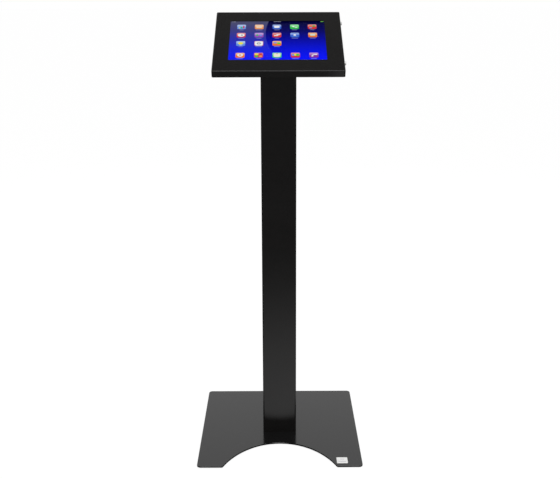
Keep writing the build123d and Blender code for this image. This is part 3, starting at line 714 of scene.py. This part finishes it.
def screw_head_rings(top):
    """From the washer out over the dome, down into the socket and up its pin."""
    rings = [
        (WASHER_THICKNESS, THREAD_RADIUS),
        (WASHER_THICKNESS, HEAD_RADIUS - 0.1),
        (WASHER_THICKNESS + 0.12, HEAD_RADIUS),
    ]
    edge = WASHER_THICKNESS + HEAD_EDGE
    dome_height, dome_reach = top - edge, HEAD_RADIUS - CROWN_RADIUS
    for k in range(DOME_STEPS + 1):
        turn = k / DOME_STEPS * pi / 2
        rings.append((edge + dome_height * sin(turn), CROWN_RADIUS + dome_reach * cos(turn)))
    return rings + [
        (top, 1.95),
        (top - 0.12, hexagon),
        (top - SOCKET_DEPTH, hexagon),
        (top - SOCKET_DEPTH - 0.05, PIN_RADIUS),
        (top - PIN_DROP - 0.1, PIN_RADIUS),
        (top - PIN_DROP, PIN_RADIUS - 0.12),
    ]


def make_lock_screw(node):
    """Stands for the CAD screw: washer, button head with a pin-in-hex socket, and a cut thread, along x."""
    low, high = span(node)
    cover_side = max(v.co.x for v in frame["nodes"]["cover"].data.vertices)
    shank = (cover_side - low.x) / MM
    mesh = bmesh.new()
    ring_surface(mesh, screw_head_rings((high.x - cover_side) / MM), SCREW_SEGMENTS)

    rise = THREAD_PITCH / THREAD_STEPS
    last = ceil(shank / THREAD_PITCH * THREAD_STEPS) - THREAD_STEPS + 1      # just short of the washer
    rings = [(-shank, THREAD_TIP_RADIUS), (-shank + THREAD_END, THREAD_ROOT)]
    rings += [(-shank + THREAD_END + k * rise, thread(k * rise)) for k in range(1, last + 1)]
    rings += [(WASHER_THICKNESS - 0.15, THREAD_ROOT), (WASHER_THICKNESS - 0.02, THREAD_ROOT)]
    ring_surface(mesh, rings, SCREW_SEGMENTS)

    bore = THREAD_RADIUS + 0.1
    washer = (
        (0.0, bore),
        (0.0, WASHER_RADIUS),
        (WASHER_THICKNESS - WASHER_CHAMFER, WASHER_RADIUS),
        (WASHER_THICKNESS, WASHER_RADIUS - WASHER_CHAMFER),
        (WASHER_THICKNESS, bore),
    )
    ring_surface(mesh, washer, SCREW_SEGMENTS, closed=True)

    middle = (low + high) / 2
    place = HEAD @ Matrix.Translation((cover_side, middle.y, middle.z)) @ Matrix.Rotation(pi / 2, 4, "Y")
    piece = make_piece(node + "_turned", mesh, [METAL["stainless"]], place @ Matrix.Scale(MM, 4), body=node)
    smooth_by_angle(piece)
    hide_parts(node)


# ---- Gasket and label print, in millimetres

GASKET_BAND = 4.0            # as in the CAD solid that it stands for
GASKET_RADIUS = 7.0
GASKET_SWELL = 0.3           # how far the rolled edges stand out
GASKET_STEPS = 8

INK_LEVELS = (0.0, 0.03)     # over the label
MARK_REACH = 3.0             # from the mark's middle to its strokes
MARK_STROKE = 0.9
MARK_RISE = 0.16             # shares of the label's depth, from its middle
BAR_DROP = 0.2
BAR_WIDTH = 0.74             # share of the label's width
BAR_HEIGHT = 1.8


def make_gasket():
    """Foam strip with rolled edges behind the window, standing for its plain solid."""
    low, high = span("window_gasket")
    width, length, thick = ((high - low) / MM)[:]
    angles = [pi * k / GASKET_STEPS for k in range(GASKET_STEPS + 1)]
    section = [(sin(angle) * GASKET_SWELL, -cos(angle) * thick / 2) for angle in angles]
    edges = []
    for inset in (GASKET_SWELL, GASKET_BAND - GASKET_SWELL):
        edges.append(rounded_outline(0, 0, width - 2 * inset, length - 2 * inset, GASKET_RADIUS - inset, 8))
    mesh = bmesh.new()
    loops = []
    for edge, side, rows in ((edges[0], 1, section), (edges[1], -1, section[::-1])):
        for reach, z in rows:
            points = [Vector(point) + Vector(point).normalized() * reach * side for point in edge]
            loops.append([mesh.verts.new((*point, z)) for point in points])
    skin(mesh, loops, closed=True)
    place = HEAD @ Matrix.Translation((low + high) / 2) @ Matrix.Scale(MM, 4)
    piece = make_piece("foam_gasket", mesh, [foam()], place, body="cover")
    smooth_by_angle(piece, 50)
    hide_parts("window_gasket")


def make_label_print():
    """A plain square mark and one bar, in grey ink, where a real label would carry its owner's."""
    low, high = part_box("asset_label")
    middle = (low + high) / 2
    width, depth = (high.x - low.x) / MM, (high.y - low.y) / MM
    mark_y = depth * MARK_RISE
    mesh = bmesh.new()
    for side in (-MARK_REACH, MARK_REACH):
        upright = rounded_outline(side, mark_y, MARK_STROKE, 2 * MARK_REACH + MARK_STROKE, 0.3, 3)
        level = rounded_outline(0, mark_y + side, 2 * MARK_REACH - MARK_STROKE, MARK_STROKE, 0.3, 3)
        prism(mesh, upright, *INK_LEVELS)
        prism(mesh, level, *INK_LEVELS)
    prism(mesh, rounded_outline(0, -depth * BAR_DROP, width * BAR_WIDTH, BAR_HEIGHT, 0.4, 3), *INK_LEVELS)
    ink = plain("label_ink", (0.46, 0.43, 0.50), 0.5)
    vary_color(ink, (0.42, 0.39, 0.46), (0.50, 0.47, 0.54), 300)
    place = Matrix.Translation((middle.x, middle.y, high.z)) @ Matrix.Scale(MM, 4)
    make_piece("label_print", mesh, [ink], place)


# ---- Weld round the column's top, in metres

COLUMN_RADIUS = 4 * MM
WELD_LEG = 3.2 * MM
WELD_STEP = 1.6 * MM         # between sections along the seam
WELD_SIDES = 7               # points across the bead
WELD_BITE = 0.3 * MM         # the bead's root, inside the column's face
WELD_RAISE = 0.2 * MM        # and above the plate's back
WELD_BULGE = 0.22            # shares of the leg
WELD_RIPPLE = 0.09
WELD_RIPPLE_STEPS = 3


def along_seam(outline):
    """Points at about the weld's step along a closed outline."""
    points = []
    for k, (x, y) in enumerate(outline):
        after = outline[(k + 1) % len(outline)]
        run = Vector((after[0] - x, after[1] - y, 0))
        steps = max(1, ceil(run.length / WELD_STEP))
        points += [Vector((x, y, 0)) + run * step / steps for step in range(steps)]
    return points


def make_column_weld(paint):
    """The fillet weld round the column's top, under the head plate, painted over."""
    low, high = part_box("column_tube")
    middle = (low + high) / 2
    normal = HEAD.to_3x3() @ Vector((0, 0, 1))
    plane = HEAD @ Vector((0, 0, span("head_plate")[0].z))
    points = along_seam(rounded_outline(middle.x, middle.y, high.x - low.x, high.y - low.y, COLUMN_RADIUS, 8))
    up = Vector((0, 0, 1))
    mesh = bmesh.new()
    rows = []
    for k, point in enumerate(points):
        around = (points[(k + 1) % len(points)] - points[k - 1]).normalized()
        away = around.cross(up).normalized()
        height = plane.z - ((point.x - plane.x) * normal.x + (point.y - plane.y) * normal.y) / normal.z
        root = Vector((point.x, point.y, height))
        along_plate = (away - normal * away.dot(normal)).normalized()
        leg = WELD_LEG * (1 + WELD_RIPPLE * sin(k * 2 * pi / WELD_RIPPLE_STEPS))
        row = [mesh.verts.new(root - away * WELD_BITE + up * WELD_RAISE)]
        for side in range(WELD_SIDES):
            share = side / (WELD_SIDES - 1)
            reach = along_plate * leg * (1 - share) - up * leg * share
            bulge = (along_plate - up).normalized() * sin(share * pi) * WELD_BULGE * WELD_LEG
            row.append(mesh.verts.new(root + reach + bulge))
        rows.append(row)
    skin(mesh, rows, closed=True)
    piece = make_piece("column_weld", mesh, [paint])
    smooth_by_angle(piece, 60)


# ---- Stage: pale floor, plain soft light. Lengths are metres, and levels are shares of white

WALL_LEVEL = 0.79            # the white sweep, in reflections
FLOOR_RADIUS = 90.0
FLOOR_DROP = 0.0002
FLOOR_SEEN = 0.92
FLOOR_SHADOW = 0.12          # how much of the lamps' light is added to that, less in the shadow
FLOOR_BOUNCE = 0.4
FLOOR_FAR = 0.135            # beyond the sweep, in reflections
SWEEP_MIDDLE_X = 0.08
SWEEP_NARROWING = 2.2        # how much shorter the sweep is sideways
SWEEP_START, SWEEP_END = 0.1, 1.8

TOE_CENTRE_Y = -0.3453       # the toe cut-out's ellipse
TOE_HALF_AXES = (0.1687, 0.2463)
CONTACT_FULL, CONTACT_END = 0.08, 0.25       # off the ellipse, in shares of its radius
CONTACT_FADE_Y = (-0.22, -0.30)              # it fades out between these, towards the visitor

FLAG_X = (-0.22, 0.165)
FLAG_Y = (-0.55, -0.30)
FLAG_HEIGHT = 0.55
FLAG_LEVEL = 0.16

CEILING_LEVEL = 0.14
WALL_TOP, CEILING_START = 0.60, 0.80         # heights on the unit sphere
FRONT_LEVEL = 0.8            # of the walls' level, towards the visitor's side
FRONT_Y = (-0.6, 0.3)
WORLD_LEVEL = 0.62           # the light on the object

# (name, place, target, watts, size in metres, seen in reflections)
LAMPS = (
    ("key", (0.0, -1.5, 3.2), (0, -0.1, 0.9), 26.0, 1.3, True),
    ("fill", (2.0, -1.2, 2.2), (0, 0, 0.7), 14.0, 1.4, True),
    ("back", (0.6, 2.4, 2.4), (0, 0, 0.7), 16.0, 1.2, False),
)


def bare_material(name):
    """A material with only its output node, and its node tree."""
    material = bpy.data.materials.new(name)
    material.use_nodes = True
    tree = material.node_tree
    tree.nodes.remove(tree.nodes["Principled BSDF"])
    return material, tree


def glossy_or_through(tree, path):
    """1 for rays that come from a reflection or through glass."""
    return calculate(tree, "MAXIMUM", path.outputs["Is Glossy Ray"], path.outputs["Is Transmission Ray"])


def neutral(level):
    return (level, level, level, 1)


def sweep_level(tree, place):
    """Reflections find the white sweep round the kiosk, and a darker room beyond it."""
    from_middle = calculate_vector(tree, "SUBTRACT", place, (SWEEP_MIDDLE_X, 0, 0))
    narrowed = calculate_vector(tree, "MULTIPLY", from_middle, (SWEEP_NARROWING, 1, 1))
    distance = calculate_vector(tree, "LENGTH", narrowed)
    return map_range(tree, distance, SWEEP_START, SWEEP_END, WALL_LEVEL, FLOOR_FAR, smooth=True)


def contact_level(tree, place):
    """0 in the contact shadow along the plate's edge in the toe cut-out, and 1 away from it."""
    from_centre = calculate_vector(tree, "SUBTRACT", place, (0, TOE_CENTRE_Y, 0))
    shares = calculate_vector(tree, "DIVIDE", from_centre, (*TOE_HALF_AXES, 1))
    past_edge = calculate(tree, "SUBTRACT", calculate_vector(tree, "LENGTH", shares), 1.0)
    off_edge = calculate(tree, "ABSOLUTE", past_edge)
    contact = map_range(tree, off_edge, CONTACT_FULL, CONTACT_END, smooth=True)
    in_front = map_range(tree, axis_of(tree, place, "Y"), *CONTACT_FADE_Y, smooth=True)
    return calculate(tree, "MAXIMUM", contact, in_front)


def make_floor():
    mesh = bmesh.new()
    bmesh.ops.create_circle(mesh, cap_ends=True, radius=FLOOR_RADIUS, segments=64)
    material, tree = bare_material("floor")
    floor = new_object("floor", mesh, [material])
    floor.location.z = -FLOOR_DROP
    path = add(tree, "ShaderNodeLightPath")
    lift = add(tree, "ShaderNodeEmission", Color=neutral(1), Strength=FLOOR_SEEN)
    shade = add(tree, "ShaderNodeBsdfDiffuse", Color=neutral(FLOOR_SHADOW))
    white = add(tree, "ShaderNodeAddShader")
    plug(tree, white.inputs[0], lift.outputs[0])
    plug(tree, white.inputs[1], shade.outputs[0])
    bounce = add(tree, "ShaderNodeBsdfDiffuse", Color=neutral(FLOOR_BOUNCE))
    place = add(tree, "ShaderNodeNewGeometry").outputs["Position"]
    mirrored_level = calculate(tree, "MULTIPLY", sweep_level(tree, place), contact_level(tree, place))
    mirrored = add(tree, "ShaderNodeEmission", Strength=mirrored_level)
    seen_or_lighting = mix_shaders(tree, path.outputs["Is Camera Ray"], bounce, white)
    whole = mix_shaders(tree, glossy_or_through(tree, path), seen_or_lighting, mirrored)
    plug(tree, tree.nodes["Material Output"].inputs["Surface"], whole.outputs[0])


def make_flag():
    """A studio flag low in front, seen only in reflections: it keeps the head's lower face dark."""
    (left, right), (near, far) = FLAG_X, FLAG_Y
    mesh = bmesh.new()
    corners = ((left, near, 0), (right, near, 0), (right, far, 0), (left, far, 0))
    mesh.faces.new([mesh.verts.new(corner) for corner in corners])
    material, tree = bare_material("flag")
    flag = new_object("flag", mesh, [material])
    flag.location.z = FLAG_HEIGHT
    side = add(tree, "ShaderNodeNewGeometry").outputs["Backfacing"]
    card = add(tree, "ShaderNodeEmission", Strength=FLAG_LEVEL)
    one_sided = mix_shaders(tree, side, card, add(tree, "ShaderNodeBsdfTransparent"))
    plug(tree, tree.nodes["Material Output"].inputs["Surface"], one_sided.outputs[0])
    flag.visible_camera = False
    flag.visible_diffuse = False
    flag.visible_shadow = False
    flag.visible_transmission = False


def mix_levels(tree, factor, first, second):
    node = add(tree, "ShaderNodeMix", data_type="FLOAT")
    level_a, level_b = node.inputs[2], node.inputs[3]
    for socket, value in ((node.inputs[0], factor), (level_a, first), (level_b, second)):
        plug(tree, socket, value)
    return node.outputs[0]


def make_world():
    """White to the camera. Reflections find white walls, dimmer in front, and a dark ceiling over them."""
    world = bpy.data.worlds.new("studio")
    bpy.context.scene.world = world
    world.use_nodes = True
    tree = world.node_tree
    path = add(tree, "ShaderNodeLightPath")
    place = add(tree, "ShaderNodeTexCoord").outputs["Generated"]
    height = axis_of(tree, place, "Z")
    walls = map_range(tree, height, WALL_TOP, CEILING_START, WALL_LEVEL, CEILING_LEVEL, smooth=True)
    front = map_range(tree, axis_of(tree, place, "Y"), *FRONT_Y, FRONT_LEVEL, 1.0)
    mirrored = calculate(tree, "MULTIPLY", walls, front)
    level = mix_levels(tree, glossy_or_through(tree, path), WORLD_LEVEL, mirrored)
    whole = mix_levels(tree, path.outputs["Is Camera Ray"], level, 1.0)
    background = tree.nodes["Background"]
    plug(tree, background.inputs["Color"], neutral(1))
    plug(tree, background.inputs["Strength"], whole)


def make_lamp(name, place, target, power, size, in_reflections):
    data = bpy.data.lights.new(name, "AREA")
    data.energy = power
    data.size = size
    lamp = bpy.data.objects.new(name, data)
    bpy.context.scene.collection.objects.link(lamp)
    lamp.location = place
    lamp.rotation_euler = (Vector(target) - Vector(place)).to_track_quat("-Z", "Y").to_euler()
    lamp.visible_glossy = in_reflections


# ---- Assembly

METAL = {"stainless": stainless(), "zinc": zinc()}


def paint_nodes():
    head_paint = powder_coat("powder_black", (0.0044, 0.0038, 0.0036), 0.19, 0.00003)
    plate_paint = powder_coat("plate_black", (0.0052, 0.0050, 0.0052), 0.17, 0.00002)
    cradle = moulded("cradle_plastic", (0.03, 0.03, 0.032))
    speaker = moulded("speaker_plastic", (0.02, 0.02, 0.022), 0.42)
    soft = rubber()
    tablet = anodised()
    finishes = {
        head_paint: ("cover", "tray", "column_tube", "head_plate"),
        plate_paint: ("base_plate",),
        vinyl(): ("asset_label",),
        soft: ("base_pads", "cable_grommet", "tray_grommet"),
        METAL["zinc"]: (
            "column_foot", "foot_screws", "head_bolts", "head_nuts", "lock_nuts", "tray_hinge_leaf",
            "cover_hinge_leaf", "hinge_rivets", "cradle_screws",
        ),
        METAL["stainless"]: ("hinge_pin", "charge_port"),
        cradle: ("corner_cradles",),
        speaker: ("tablet_speakers",),
        tablet: ("tablet_shell", "power_button", "volume_rocker"),
        clear_glass(): ("tablet_glass",),
        dark_panel(): ("display_panel",),
        battery_wrap(): ("battery_cells",),
        circuit_board(): ("logic_board",),
    }
    for material, names in finishes.items():
        for name in names:
            data = frame["nodes"][name].data
            data.materials.clear()
            data.materials.append(material)
    return head_paint


make_camera()
make_world()
make_floor()
make_flag()
for lamp in LAMPS:
    make_lamp(*lamp)
head_paint = paint_nodes()
make_screen()
make_glass_border()
make_lock_screw("upper_lock_screw")
make_lock_screw("lower_lock_screw")
make_gasket()
make_label_print()
make_column_weld(head_paint)
bpy.context.scene.view_settings.view_transform = "Standard"
